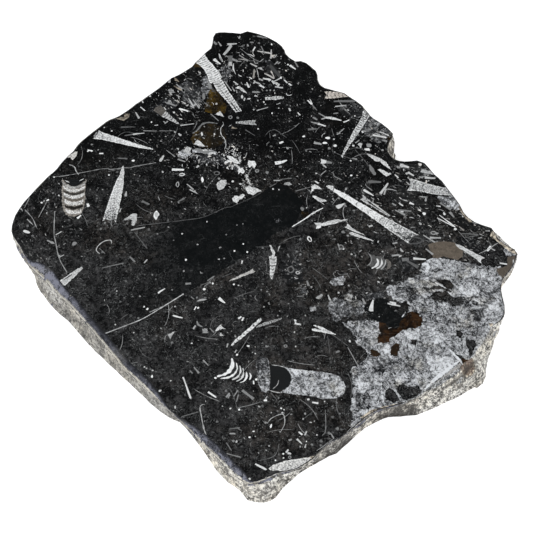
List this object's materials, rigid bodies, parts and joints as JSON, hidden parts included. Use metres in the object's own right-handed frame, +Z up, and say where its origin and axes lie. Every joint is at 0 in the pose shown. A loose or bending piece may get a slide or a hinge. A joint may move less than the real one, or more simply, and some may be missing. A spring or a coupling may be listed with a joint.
{
  "type": "fossil slab",
  "caption": "Irregular slab of black fossil limestone, polished on top with orthoceras shells flush in the stone, rough broken edges, and a flat sawn underside that it rests on.",
  "frame": {"origin": "on the underside, under the middle of the slab's outline", "axes": "+Z up, out of the polished face; +Y across the slab towards the horn of its far end, along its longest extent; +X to the right, towards the right point"},
  "size_m": [0.3851, 0.4071, 0.022],
  "materials": {
    "black_limestone": "black fossil limestone, polished above, rough and beige-grey on the broken edges, sawn grey below"
  },
  "bodies": {
    "root": {"fossil_slab": "black_limestone"}
  },
  "joints": []
}
